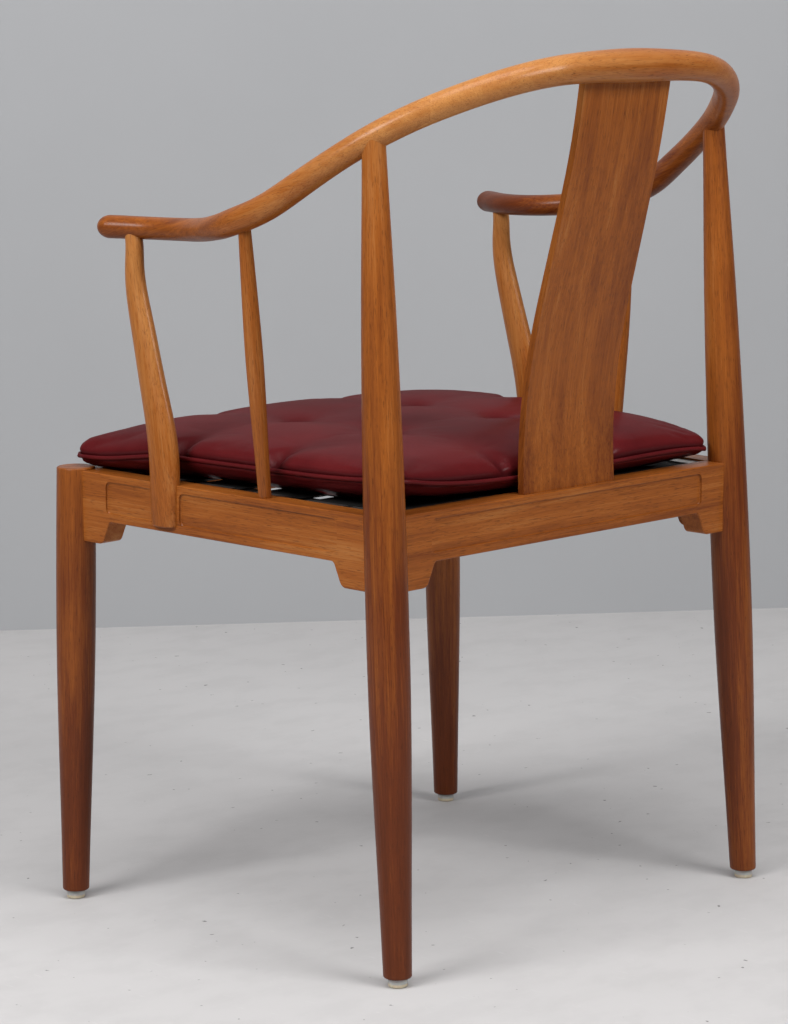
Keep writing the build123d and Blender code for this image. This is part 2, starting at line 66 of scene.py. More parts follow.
def direction(azimuth, elevation):
    """Unit vector from the chair towards a compass direction and height."""
    flat = math.cos(elevation)
    return Vector((math.sin(azimuth) * flat, -math.cos(azimuth) * flat, math.sin(elevation)))


camera_data = bpy.data.cameras.new("camera")
camera_data.lens = CAMERA_LENS
camera_data.sensor_width = CAMERA_SENSOR
camera = bpy.data.objects.new("camera", camera_data)
bpy.context.scene.collection.objects.link(camera)
camera.location = CAMERA_PLACE
camera.rotation_mode = "QUATERNION"
looking = (-direction(CAMERA_AZIMUTH, CAMERA_PITCH)).to_track_quat("-Z", "Y")
camera.rotation_quaternion = looking @ Quaternion((0, 0, 1), CAMERA_ROLL)
bpy.context.scene.camera = camera
bpy.context.scene.view_settings.view_transform = "Standard"
print("camera", round(CAMERA_PLACE.length, 2), "m from the chair's foot")

# %% [markdown]
# ## Shader maths as Python
#
# A material is a small calculation that runs at every point of a surface. Written as node
# links it is hard to read, so the class below wraps a socket and lets + - * / build the
# Math nodes. Anything that isn't plain arithmetic comes from one method, `node`.

# %% A number inside a material


class Value:
    """A socket that carries a number or colour: arithmetic on it adds Math nodes."""

    def __init__(self, shader, socket):
        self.shader = shader
        self.socket = socket

    def operate(self, operation, *others, clamp=False):
        """Add one Math node that works on this value and the others."""
        numbers = dict(enumerate((self, *others)))
        settings = {"operation": operation, "use_clamp": clamp}
        return self.shader.node("ShaderNodeMath", settings, numbers)

    def __add__(self, other):
        return self.operate("ADD", other)

    def __radd__(self, other):
        return self.operate("ADD", other)

    def __sub__(self, other):
        return self.operate("SUBTRACT", other)

    def __rsub__(self, other):
        return (self * -1.0).operate("ADD", other)

    def __mul__(self, other):
        return self.operate("MULTIPLY", other)

    def __rmul__(self, other):
        return self.operate("MULTIPLY", other)

    def __truediv__(self, other):
        return self.operate("DIVIDE", other)

    def __pow__(self, other):
        return self.operate("POWER", other)

    def clamped(self):
        """The same number kept between 0 and 1."""
        return self.operate("ADD", 0.0, clamp=True)

    def wave(self, gap):
        """A wave between 0 and 1 that repeats each time this value grows by a gap."""
        return (self * (2 * math.pi / gap)).operate("SINE") * 0.5 + 0.5

    def step(self, low, high):
        """0 below low, 1 above high, smooth between."""
        return self.shader.node(
            "ShaderNodeMapRange", {"interpolation_type": "SMOOTHSTEP"},
            {"Value": self, "From Min": low, "From Max": high})


print("a value knows", ", ".join(name for name in vars(Value) if not name.startswith("_")))

# %% [markdown]
# The second class holds one material. It starts with an empty tree, adds a Principled
# surface, and has a short name for each pattern that the chair's finishes share. Every
# pattern starts from the place on the piece, in metres, so it stays fixed to the wood or the
# leather when the piece moves.

# %% A material
OBJECT_PLACE = 3  # output of the Texture Coordinate node
NOISE_COLOUR = 1  # output of the Noise node
MIX_SOCKETS = (0, 6, 7)  # factor and the two colours of a Mix node
MIX_COLOUR = 2  # its colour output


class Shader:
    """A material's node tree with its Principled surface."""

    def __init__(self, name):
        self.material = bpy.data.materials.new(name)
        self.material.use_nodes = True
        self.tree = self.material.node_tree
        self.tree.nodes.clear()
        self.output = self.tree.nodes.new("ShaderNodeOutputMaterial")
        self.surface = self.tree.nodes.new("ShaderNodeBsdfPrincipled")
        self.tree.links.new(self.surface.outputs[0], self.output.inputs["Surface"])

    def node(self, kind, settings=None, values=None, output=0):
        """Add a node: settings first, then the values or links of its sockets."""
        made = self.tree.nodes.new(kind)
        for key, value in (settings or {}).items():
            if key == "ramp":
                self.fill_ramp(made.color_ramp, value)
            else:
                setattr(made, key, value)
        for key, value in (values or {}).items():
            self.feed(made.inputs[key], value)
        return Value(self, made.outputs[output])

    def fill_ramp(self, ramp, stops):
        """Give a colour ramp its places and colours."""
        while len(ramp.elements) < len(stops):
            ramp.elements.new(1.0)
        for element, (place, colour) in zip(ramp.elements, stops):
            element.position = place
            element.color = (*colour, 1.0)

    def feed(self, socket, value):
        """Link a value to a socket, or set the socket to a plain number or colour."""
        if isinstance(value, Value):
            self.tree.links.new(value.socket, socket)
        elif hasattr(value, "__len__") and len(value) == 3 and socket.type == "RGBA":
            socket.default_value = (*value, 1.0)
        else:
            socket.default_value = value

    def set(self, **values):
        """Set or link sockets of the surface, named with underscores for spaces."""
        for key, value in values.items():
            self.feed(self.surface.inputs[key.replace("_", " ")], value)

    def place(self):
        """The place on the piece, in metres."""
        return self.node("ShaderNodeTexCoord", output=OBJECT_PLACE)

    def parts(self, vector):
        """The three numbers of a vector."""
        made = self.tree.nodes.new("ShaderNodeSeparateXYZ")
        self.feed(made.inputs[0], vector)
        return [Value(self, socket) for socket in made.outputs]

    def stretch(self, vector, scale, shift=(0.0, 0.0, 0.0)):
        """Multiply a vector axis by axis, then shift it."""
        return self.node("ShaderNodeVectorMath", {"operation": "MULTIPLY_ADD"}, {
            0: vector, 1: scale, 2: shift})

    def noise(self, vector, scale, detail=2.0, roughness=0.5, output=0):
        """A cloudy pattern; a larger scale makes smaller clouds."""
        return self.node("ShaderNodeTexNoise", {}, {
            "Vector": vector, "Scale": scale, "Detail": detail, "Roughness": roughness}, output)

    def drawn_noise(self, vector, scale, detail=2.0, roughness=0.5):
        """A cloudy pattern with a scale of its own along each axis."""
        return self.noise(self.stretch(vector, scale), 1.0, detail, roughness)

    def mix(self, factor, first, second):
        """Mix two colours."""
        made = self.tree.nodes.new("ShaderNodeMix")
        made.data_type = "RGBA"
        for index, value in zip(MIX_SOCKETS, (factor, first, second)):
            self.feed(made.inputs[index], value)
        return Value(self, made.outputs[MIX_COLOUR])

    def bump(self, height, distance, strength):
        """Relief that only tilts the light, with its depth in metres."""
        return self.node("ShaderNodeBump", {}, {
            "Height": height, "Distance": distance, "Strength": strength})


print("a shader knows", ", ".join(name for name in vars(Shader) if not name.startswith("_")))

# %% [markdown]
# ## Wood
#
# The frame is fine-grained cherry-coloured wood under thin oil. Each piece was sawn from a
# plank, so its rings are slices of a cylinder far to one side of it, drawn out along the
# grain. A ready pattern such as a Wave texture would repeat the same lines on every piece.
# This material works in the grain's own space instead: z runs along the piece, x and y
# across it. Four things are layered there: faint ring bands, slow changes of tone, fine
# streaks and fibres, and the short dark pores that show as flecks. The sum picks a colour
# from a ramp that runs from nearly black to golden brown.
#
# The oil is a thin coat over a surface that hardly shines itself, because two strong shines
# on top of each other turn the wood grey where the view grazes it.

# %% Wood surface
WOOD_LIGHT = (0.535, 0.245, 0.075)
WOOD_MIDDLE = (0.300, 0.086, 0.013)
WOOD_DARK = (0.125, 0.027, 0.006)
WOOD_DEEP = (0.075, 0.015, 0.003)
WOOD_PORE = (0.055, 0.014, 0.004)
WOOD_RAMP = [(0.0, WOOD_DEEP), (0.25, WOOD_DARK), (0.52, WOOD_MIDDLE), (1.0, WOOD_LIGHT)]
RING_GAP = 0.0046
BAND_GAP = 0.019
WANDER_REACH = (0.040, 0.040, 0.0)  # how far the rings wander from a true circle
# Clouds to a metre, across the grain twice and then along it
WANDER_SCALE = (9.0, 9.0, 1.3)
BLUSH_SCALE = (20.0, 20.0, 4.0)
STREAK_SCALE = (170.0, 170.0, 4.0)
FIBRE_SCALE = (900.0, 900.0, 22.0)
PORE_SCALE = (1700.0, 1700.0, 90.0)
PORE_EDGES = (0.60, 0.69)
# How much each layer moves the colour along the ramp
RING_SHARE = 0.02
BAND_SHARE = 0.04
FIBRE_SHARE = 0.38
STREAK_SHARE = 0.34
BLUSH_SHARE = 0.60
RAMP_SHIFT = 0.18
PORE_SHARE = 0.5
OIL_ROUGHNESS = 0.34
WOOD_RELIEF = 0.00012


def wood_surface(shader, grain, tone):
    """Colour, gloss and relief of the wood from a vector in the grain's space."""
    wander_from = shader.stretch(grain, WANDER_SCALE)
    wander = shader.noise(wander_from, 1.0, 2.0, 0.5, output=NOISE_COLOUR)
    bent = shader.stretch(wander, WANDER_REACH, grain)
    radius = shader.node("ShaderNodeVectorMath", {"operation": "LENGTH"}, {
        0: shader.stretch(bent, (1.0, 1.0, 0.0))}, output=1)
    rings = radius.wave(RING_GAP)
    bands = radius.wave(BAND_GAP)
    fibre = shader.drawn_noise(grain, FIBRE_SCALE, 3.0, 0.6)
    streak = shader.drawn_noise(grain, STREAK_SCALE, 3.0, 0.55)
    blush = shader.drawn_noise(grain, BLUSH_SCALE)
    pore = shader.drawn_noise(grain, PORE_SCALE, 1.0).step(*PORE_EDGES)
    figure = rings * RING_SHARE + bands * BAND_SHARE
    figure = figure + fibre * FIBRE_SHARE + streak * STREAK_SHARE + blush * BLUSH_SHARE
    shade = figure - RAMP_SHIFT + tone
    colour = shader.node("ShaderNodeValToRGB", {"ramp": WOOD_RAMP}, {"Fac": shade})
    colour = shader.mix(pore * PORE_SHARE, colour, WOOD_PORE)
    relief = fibre * 0.5 - pore * 0.8 + streak * 0.4
    shader.set(
        Base_Color=colour,
        Roughness=OIL_ROUGHNESS + fibre * 0.14 + pore * 0.12,
        Normal=shader.bump(relief, WOOD_RELIEF, 0.5),
        Coat_Weight=0.26, Coat_Roughness=0.20, Specular_IOR_Level=0.08)


print("the wood has a ramp of", len(WOOD_RAMP), "colours")

# %% [markdown]
# The pieces aren't one tone from end to end: the legs are darker towards the floor, and the
# bow is palest at its crest. This is partly the wood's own tone and partly painted light and
# shade: painted shade low on the legs, painted light higher up. One material with two tones
# does this. It measures how far a place lies along the piece, as a share of its length, and
# blends from the first tone to the second. A tone below zero darkens the wood, and one above
# zero lightens it.

# %% Wood for one piece
TONE_BEND = 1.5  # above 1, the first tone holds on for longer


def sawn_wood(name, pith, along, start, tones):
    """Wood whose grain runs along a line, with one tone at its start and one at its end."""
    shader = Shader(name)
    turn = Vector((0, 0, 1)).rotation_difference(Vector(along).normalized()).inverted()
    moved = -(turn.to_matrix() @ Vector(start))
    grain = shader.node("ShaderNodeMapping", {"vector_type": "POINT"}, {
        "Vector": shader.place(), "Location": Vector(pith) + moved, "Rotation": turn.to_euler()})
    share = (shader.parts(grain)[2] - pith[2]) / along.length
    first, last = tones
    wood_surface(shader, grain, share.clamped() ** TONE_BEND * (last - first) + first)
    return shader.material


print("a plank of its own for each piece, with the tone bent by", TONE_BEND)

# %% [markdown]
# Each piece's grain follows the line from one of its ends to the other. The bow's pieces are
# sawn from straight planks too, so their grain runs out where the bow curves. The lines are
# given for the left half of the chair and turned over for the right.

# %% Grain lines and tones
FOOT_FRONT = Vector((0.262, -0.2403, 0.0))
HEAD_FRONT = Vector((0.2525, -0.239, 0.422))
FOOT_REAR = Vector((0.246, 0.1836, 0.0))
HEAD_REAR = Vector((0.2384, 0.1616, 0.4175))
TOP_REAR = Vector((0.2320, 0.1430, 0.770))
STUMP_FOOT = Vector((0.2543, -0.1088, 0.381))
STUMP_HEAD = Vector((0.251, -0.1545, 0.655))
SPINDLE_FOOT = Vector((0.2422, 0.0141, 0.417))
SPINDLE_HEAD = Vector((0.2634, 0.0128, 0.668))
SPLAT_FOOT = Vector((0.0, 0.163, 0.410))
SPLAT_HEAD = Vector((0.0, 0.232, 0.800))
HAND_END = Vector((0.250, -0.170, 0.655))
ARM_BACK = Vector((0.220, 0.160, 0.755))
CREST_SIDE = Vector((0.20, 0.215, 0.785))

# Tones at the two ends of each piece: partly the wood's own tone, partly painted shade low down
# and painted light up high
PLAIN = (0.0, 0.0)
FRONT_LEG_TONES = (-0.25, -0.09)
REAR_LEG_TONES = (-0.35, 0.14)
STUMP_TONES = (0.02, 0.24)
SPLAT_TONES = (-0.14, 0.08)
ARM_TONES = (-0.16, 0.22)
CREST_TONES = (0.00, 0.32)
# Two pieces on the far right of the chair get tones of their own: painted shade, mostly darker
# than their partners
FAR_SHADE_TONES = {"rear_leg_right": (-0.24, -0.10), "arm_rail_right": (-0.32, -0.02)}


def opposite(point):
    """The same place on the other side of the chair."""
    return Vector((-point.x, point.y, point.z))


pairs = {
    "front_leg": (FOOT_FRONT, HEAD_FRONT, FRONT_LEG_TONES),
    "rear_leg": (FOOT_REAR, TOP_REAR, REAR_LEG_TONES),
    "arm_stump": (STUMP_FOOT, STUMP_HEAD, STUMP_TONES),
    "side_spindle": (SPINDLE_FOOT, SPINDLE_HEAD, PLAIN),
    "side_seat_rail": (HEAD_FRONT, HEAD_REAR, PLAIN),
    "arm_rail": (HAND_END, ARM_BACK, ARM_TONES),
}
planks = {
    "back_splat": (SPLAT_FOOT, SPLAT_HEAD, SPLAT_TONES),
    "front_seat_rail": (opposite(HEAD_FRONT), HEAD_FRONT, PLAIN),
    "rear_seat_rail": (opposite(HEAD_REAR), HEAD_REAR, PLAIN),
    "crest_rail": (opposite(CREST_SIDE), CREST_SIDE, CREST_TONES),
}
for name, (start, end, tones) in pairs.items():
    planks[name + "_left"] = (start, end, tones)
    planks[name + "_right"] = (opposite(start), opposite(end), tones)
print("planks", len(planks))

# %% [markdown]
# The centre of the rings, the pith, lies in a different place beside each plank, so no two
# pieces show the same figure. Small steps that repeat every four and every five planks are
# enough for that, and unlike random places they come out the same each time.

# %% Paint the wooden pieces
PITH_PLACE = (0.031, -0.026)
PITH_STEP = (0.007, 0.013)
PLANK_GAP = 0.37  # along the grain, from one plank to the next


def pith_place(order):
    """Where the centre of the rings lies beside a plank."""
    x = PITH_PLACE[0] + PITH_STEP[0] * (order % 4)
    y = PITH_PLACE[1] + PITH_STEP[1] * (order % 5)
    return x, y, PLANK_GAP * order


def paint(node, material):
    """Give a CAD node's every slot one material."""
    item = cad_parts[node]
    if not item.material_slots:
        item.data.materials.append(material)
    for slot in item.material_slots:
        slot.material = material


# The two far pieces take their painted-shade tones in place of their partners' tones
for order, (node, (start, end, tones)) in enumerate(planks.items()):
    piece_tones = FAR_SHADE_TONES.get(node, tones)
    paint(node, sawn_wood(node + "_wood", pith_place(order), end - start, start, piece_tones))
print("wooden pieces", len(planks))

# %% [markdown]
# ## Straps, staples and feet
#
# The cushion lies on black elastic webbing, woven with fine ribs along each strap. These
# pieces already have their true shapes, so they only need finishes. The ribs could be
# modelled, but they stand only some tenths of a millimetre proud, so a sine of the place
# across the strap, fed to a Bump node, shows them as well. Dust greys the straps in patches.

# %% Webbing
RIB_GAP = 0.0026
RIB_RELIEF = 0.0004
WEBBING_BLACK = (0.010, 0.010, 0.011)
WEBBING_DUSTY = (0.026, 0.025, 0.024)


def webbing_material(name, across_axis):
    """Ribbed elastic, with the axis that its ribs are counted along."""
    shader = Shader(name)
    place = shader.place()
    rib = shader.parts(place)[across_axis].wave(RIB_GAP)
    dust = shader.noise(place, 60.0, 3.0, 0.6)
    weave = shader.noise(place, 1400.0, 2.0, 0.6)
    shader.set(
        Base_Color=shader.mix(dust, WEBBING_BLACK, WEBBING_DUSTY),
        Roughness=0.62 + weave * 0.2,
        Normal=shader.bump(rib * 0.7 + weave * 0.5, RIB_RELIEF, 0.8),
        Specular_IOR_Level=0.3)
    return shader.material


paint("webbing_lengthwise", webbing_material("webbing_along", 0))
paint("webbing_crosswise", webbing_material("webbing_across", 1))
print("webbing with a rib every", 1000 * RIB_GAP, "mm")

# %% [markdown]
# Flat steel staples hold the strap ends. Each leg stands on a small nylon disc with a nail
# through it; the disc has gone grey above and beige round its worn rim. A step in the height
# parts the two colours, and a small noise puts grime in both.

# %% Steel and nylon
STEEL_BRIGHT = (0.62, 0.61, 0.58)
STEEL_DULL = (0.40, 0.38, 0.34)
BRUSHED_SCALE = (900.0, 40.0, 900.0)
NYLON_GREY = ((0.33, 0.33, 0.32), (0.50, 0.50, 0.48))
NYLON_WORN = ((0.44, 0.36, 0.24), (0.66, 0.58, 0.43))
NYLON_RIM = 0.0034
NYLON_BLEND = 0.0006


def steel_material():
    shader = Shader("staple_steel")
    place = shader.place()
    brushed = shader.drawn_noise(place, BRUSHED_SCALE, 2.0, 0.6)
    tarnish = shader.noise(place, 90.0, 3.0, 0.6)
    shader.set(
        Base_Color=shader.mix(tarnish.step(0.45, 0.75), STEEL_BRIGHT, STEEL_DULL),
        Metallic=1.0, Roughness=0.26 + brushed * 0.2 + tarnish * 0.1,
        Normal=shader.bump(brushed, 0.00008, 0.4))
    return shader.material


def nylon_material():
    shader = Shader("glide_nylon")
    place = shader.place()
    grime = shader.noise(place, 260.0, 3.0, 0.6)
    above_rim = shader.parts(place)[2].step(NYLON_RIM - NYLON_BLEND, NYLON_RIM + NYLON_BLEND)
    upper = shader.mix(grime, *NYLON_GREY)
    rim = shader.mix(grime, *NYLON_WORN)
    shader.set(
        Base_Color=shader.mix(above_rim, rim, upper),
        Roughness=0.42 + grime * 0.2, Normal=shader.bump(grime, 0.0001, 0.5),
        Subsurface_Weight=0.15, Subsurface_Scale=0.002)
    return shader.material


steel = steel_material()
nylon = nylon_material()
paint("webbing_staples", steel)
paint("glide_nails", steel)
for corner in ("front_left", "front_right", "rear_left", "rear_right"):
    paint(corner + "_glide", nylon)
print("staples, nails and feet finished")

# %% [markdown]
# ## Cushion
#
# The seat is a loose pad of oxblood leather, wider at the front than at the back. Its cover
# is two panels sewn together round the edge with a welt between them. Shallow valleys part
# the top into three rows of three lobes, and a tuft pulls the leather down where two valleys
# cross. Where a valley reaches the edge, it ends in a deep fold.
#
# A pad could be sculpted, or built from a box with a few loops and a subdivision. Here it is
# a slab of cloth that is then blown up, because leather really does swell between the lines
# that hold it down. The slab is a grid pulled out to the outline, with the seam, the valleys
# and the tufts already at their places.
#
# All its measures are taken on the plane of the seat, which falls a little towards the back:
# across the chair, back from the front legs, and up from the tops of the rails.

# %% Plane of the seat
SEAT_ORIGIN = Vector((0.0, -0.239, 0.422))
SEAT_SLOPE = (HEAD_FRONT.z - HEAD_REAR.z) / (HEAD_REAR.y - HEAD_FRONT.y)
SEAT_UP = Vector((0.0, SEAT_SLOPE, 1.0)).normalized()
SEAT_BACK = Vector((0.0, SEAT_UP.z, -SEAT_UP.y))


def on_seat(across, along, height):
    """A point given across the seat, back from its front rail and up from the rail tops."""
    return SEAT_ORIGIN + Vector((across, 0.0, 0.0)) + SEAT_BACK * along + SEAT_UP * height


def on_pad(point):
    """Across, along and height of a point in the seat's own directions."""
    offset = point - SEAT_ORIGIN
    return offset.x, offset.dot(SEAT_BACK), offset.dot(SEAT_UP)


print("the seat falls by", round(math.degrees(math.atan(SEAT_SLOPE)), 2), "degrees")

# %% [markdown]
# The outline is a trapezium with small round corners. Two numbers describe any place on it:
# how wide the pad is there, and how far inside the rounded outline the place lies. Every
# later step asks for one of these, so each is a function.

# %% Outline of the cushion
PAD_FRONT = -0.007
PAD_BACK = 0.3985
PAD_FRONT_HALF = 0.2525
PAD_BACK_HALF = 0.2175
PAD_CORNER = 0.014
PAD_MIDDLE = (PAD_FRONT + PAD_BACK) / 2.0


def pad_half(along):
    """Half the width of the cushion's outline at one place along it."""
    share = (along - PAD_FRONT) / (PAD_BACK - PAD_FRONT)
    return PAD_FRONT_HALF + (PAD_BACK_HALF - PAD_FRONT_HALF) * share


def past_corner(across, along):
    """How far a place lies past the start of its corner's curve, across and along."""
    out_x = abs(across) - (pad_half(along) - PAD_CORNER)
    out_y = max(PAD_FRONT + PAD_CORNER - along, along - (PAD_BACK - PAD_CORNER))
    return out_x, out_y


def edge_inset(across, along):
    """How far inside the outline, with its rounded corners, a place lies."""
    out_x, out_y = past_corner(across, along)
    beyond = math.hypot(max(out_x, 0.0), max(out_y, 0.0))
    return PAD_CORNER - beyond - min(max(out_x, out_y), 0.0)


print("outline", round(2000 * PAD_FRONT_HALF), "mm wide in front,", round(2000 * PAD_BACK_HALF),
      "mm behind,", round(1000 * (PAD_BACK - PAD_FRONT)), "mm deep")

# %% [markdown]
# The seam isn't level, because the filling has settled with use. Both front corners droop,
# the middle of the rear edge sags, one rear corner droops too, and the other has ridden up
# against its leg. With s across and t along, both from -1 to 1, a power of s or t holds each
# of these at its own corner or edge: the higher the power, the nearer to the edge it starts.

# %% Height of the seam
SEAM_HEIGHT = 0.0225
FRONT_DROOP = 0.0105
DROOP_START = 0.35  # as a share of the way from the middle to the front edge
DROOP_SPAN = 0.55
REAR_SAG = 0.0090
REAR_DROOP = 0.0090
LIFTED_CORNER = 0.0080


def within(value, low, high):
    """The value, or the nearer limit where it lies outside them."""
    return max(low, min(high, value))


def seam_level(across, along):
    """Height of the seam next to a place."""
    s = within(across / pad_half(along), -1.0, 1.0)
    t = within(2.0 * (along - PAD_FRONT) / (PAD_BACK - PAD_FRONT) - 1.0, -1.0, 1.0)
    if t < 0.0:
        far = within((-t - DROOP_START) / DROOP_SPAN, 0.0, 1.0)
        return SEAM_HEIGHT - FRONT_DROOP * abs(s) ** 3 * far * far * (3.0 - 2.0 * far)
    sag = REAR_SAG * (1.0 - s * s) * t ** 8
    corner = LIFTED_CORNER * s ** 5 * t ** 4 if s > 0.0 else REAR_DROOP * s ** 5 * t ** 5
    return SEAM_HEIGHT - sag + corner


print("seam between", round(1000 * (SEAM_HEIGHT - FRONT_DROOP), 1), "and",
      round(1000 * (SEAM_HEIGHT + LIFTED_CORNER), 1), "mm above the rails")

# %% [markdown]
# From the seam the leather stands up like a quarter circle and then climbs slowly to the
# crown. Below the seam it does the same downwards, and ends flat on the straps. Between its
# corners each side pulls in a little. Three small curves make all of this. They could be
# drawn as a bezier profile, but as formulas of the distance from the edge they work at any
# place, also round the corners.

# %% Profile of the pad
EDGE_ROUND = 0.012
EDGE_RISE = 0.0150
CROWN_RISE = 0.0105
CROWN_REACH = 0.055
EDGE_DROP = 0.0130
BELLY_DROP = 0.0125
BELLY_REACH = 0.026
CORNER_SHARE = 0.35  # how much thinner the pad is at a corner
SIDE_PULL = 0.0035
REAR_PULL = 0.0065
PULL_REACH = 0.030


def smooth_fall(distance, width):
    """1 on a line, falling to 0 a few widths away from it."""
    return math.exp(-(distance / width) ** 2)


def soft_rise(inset, reach):
    """0 at the edge, rising quickly and then ever more slowly towards 1."""
    return 1.0 - math.exp(-max(inset, 0.0) / reach)


def quarter_round(inset, radius):
    """0 at the edge and 1 a radius inside it, starting upright like a quarter circle."""
    share = within(inset / radius, 0.0, 1.0)
    return math.sqrt(1.0 - (1.0 - share) ** 2)


def side_pulls(s, t, inset_x, inset_y):
    """How far a point moves inwards, across and along, between the corners."""
    end_pull = SIDE_PULL if t < 0.0 else REAR_PULL
    pull_x = SIDE_PULL * (1.0 - t * t) * (1.0 - soft_rise(inset_x, PULL_REACH))
    pull_y = end_pull * (1.0 - s * s) * (1.0 - soft_rise(inset_y, PULL_REACH))
    return pull_x, pull_y


def cornerness(s, t):
    """1 at a corner of the pad, and nearly 0 elsewhere."""
    return abs(s) ** 5 * abs(t) ** 5


def lower_height(s, t, inset_x, inset_y, wall, seam):
    """Height of a point on the bottom panel."""
    drop = EDGE_DROP * (1.0 - CORNER_SHARE * cornerness(s, t))
    belly = soft_rise(inset_x, BELLY_REACH) * soft_rise(inset_y, BELLY_REACH)
    return seam - drop * wall - BELLY_DROP * belly


print("pad", round(1000 * (EDGE_RISE + CROWN_RISE + EDGE_DROP + BELLY_DROP)), "mm thick")

# %% [markdown]
# Two valleys run along the top and two across it. Each is shallow over the pad and turns
# into a fold at the edge, which also draws the wall inwards. The folds are weaker at the
# front and rear edges than at the sides. The pull fades with the height of the wall, because
# at the seam it would bare the welt.

# %% Valleys, folds and tufts
VALLEYS_ACROSS = (0.128, 0.244)  # back from the front rail
VALLEY_ALONG = 0.34  # as a share of half the width
VALLEY_DEPTH = 0.0016
VALLEY_WIDTH = 0.018
FOLD_DEPTH = 0.0120
FOLD_WIDTH = 0.0095
FOLD_PULL = 0.0060
FOLD_REACH = 0.028
FRONT_SHARE = 0.25
REAR_SHARE = 0.55
TUFT_DEPTH = 0.0075
TUFT_WIDTH = 0.020


def side_folds(from_across, from_along, inset_x, inset_y, t):
    """How deep a point lies in a fold of a side edge, and of the front or rear edge."""
    end_share = FRONT_SHARE if t < 0.0 else REAR_SHARE
    side = smooth_fall(from_across, FOLD_WIDTH) * smooth_fall(inset_x, FOLD_REACH)
    end = end_share * smooth_fall(from_along, FOLD_WIDTH) * smooth_fall(inset_y, FOLD_REACH)
    return side, end


def upper_dent(from_across, from_along, side, end):
    """Depth of the valley or fold at a point of the top panel."""
    valley = max(smooth_fall(from_across, VALLEY_WIDTH), smooth_fall(from_along, VALLEY_WIDTH))
    return VALLEY_DEPTH * valley + FOLD_DEPTH * max(side, end)


def upper_height(s, t, inset_x, inset_y, wall, seam, dent, tuft):
    """Height of a point on the top panel."""
    rise = EDGE_RISE * (1.0 - CORNER_SHARE * cornerness(s, t) * (t > 0.0))
    crown = soft_rise(inset_x, CROWN_REACH) * soft_rise(inset_y, CROWN_REACH)
    return seam + (rise - dent) * wall + CROWN_RISE * crown - TUFT_DEPTH * tuft


print("lobes", (len(VALLEYS_ACROSS) + 1) * 3, "tufts", len(VALLEYS_ACROSS) * 2)

# %% [markdown]
# One function puts these together: a grid point with s across and t along goes to its place
# on the top or the bottom of the pad. Near a corner, the grid's square corner is first
# squeezed onto the round one.

# %% A point of the pad


def rounded(s, t):
    """Across and along of a grid point with the corners rounded, and half the width there."""
    along = PAD_FRONT + (PAD_BACK - PAD_FRONT) * (t + 1.0) / 2.0
    half = pad_half(along)
    across = s * half
    out_x, out_y = past_corner(across, along)
    if out_x > 0.0 and out_y > 0.0:
        squeeze = max(out_x, out_y) / math.hypot(out_x, out_y)
        across = math.copysign(half - PAD_CORNER + out_x * squeeze, across)
        along = along + (squeeze - 1.0) * out_y * (1.0 if t > 0.0 else -1.0)
    return across, along, half


def pad_point(s, t, top):
    """Place of a grid point on the top or the bottom panel."""
    across, along, half = rounded(s, t)
    inset_x = half - abs(across)
    inset_y = min(along - PAD_FRONT, PAD_BACK - along)
    pull_x, pull_y = side_pulls(s, t, inset_x, inset_y)
    wall = quarter_round(edge_inset(across, along), EDGE_ROUND)
    seam = seam_level(s * half, along)
    if top:
        from_across = min(abs(along - line) for line in VALLEYS_ACROSS)
        from_along = abs(abs(across) - VALLEY_ALONG * half)
        side, end = side_folds(from_across, from_along, inset_x, inset_y, t)
        pull_x += FOLD_PULL * side * wall
        pull_y += FOLD_PULL * end * wall
        dent = upper_dent(from_across, from_along, side, end)
        tuft = smooth_fall(math.hypot(from_across, from_along), TUFT_WIDTH)
        height = upper_height(s, t, inset_x, inset_y, wall, seam, dent, tuft)
    else:
        height = lower_height(s, t, inset_x, inset_y, wall, seam)
    shift_y = pull_y if t < 0.0 else -pull_y
    return on_seat(across - math.copysign(pull_x, across), along + shift_y, height)


crown_height = on_pad(pad_point(0.0, 0.0, True))[2]
print("crown of the pad", round(1000 * crown_height, 1), "mm above the rails")

# %% [markdown]
# The slab is a square grid, extruded once so that it has a top, a bottom and a rim. Each
# vertex is then sent to its place. Top and bottom meet on the seam, where the doubled points
# are merged, and the faces are turned to point outwards.

# %% Slab
GRID_ACROSS = 140
GRID_ALONG = 116
SLAB_MIDDLE = -0.5
SAME_POINT = 0.0001

bpy.ops.mesh.primitive_grid_add(x_subdivisions=GRID_ACROSS, y_subdivisions=GRID_ALONG, size=2.0)
cushion = bpy.context.active_object
cushion.name = "cushion_cover"
bpy.ops.object.mode_set(mode="EDIT")
bpy.ops.mesh.select_all(action="SELECT")
bpy.ops.mesh.extrude_region_move(TRANSFORM_OT_translate={"value": (0.0, 0.0, -1.0)})
bpy.ops.mesh.select_all(action="SELECT")
bpy.ops.mesh.normals_make_consistent(inside=False)
bpy.ops.object.mode_set(mode="OBJECT")
for vertex in cushion.data.vertices:
    s, t, level = vertex.co
    vertex.co = pad_point(s, t, level > SLAB_MIDDLE)
bpy.ops.object.mode_set(mode="EDIT")
bpy.ops.mesh.select_all(action="SELECT")
bpy.ops.mesh.remove_doubles(threshold=SAME_POINT)
bpy.ops.mesh.normals_make_consistent(inside=False)
bpy.ops.object.mode_set(mode="OBJECT")
print("slab", len(cushion.data.vertices), "points")

# %% [markdown]
# The cloth has to know where it is held down. For any point, this function tells how close
# it lies to the seam, to the middle line of a valley and to a tuft. The same three numbers
# later press the stitched lines in and darken the leather there as painted shade.

# %% Lines that hold the leather
SEAM_WIDTH = 0.004
SEAM_REACH = 0.008
LINE_WIDTH = 0.0080
LINE_FADE = 0.034
TUFT_SPOT = 0.012


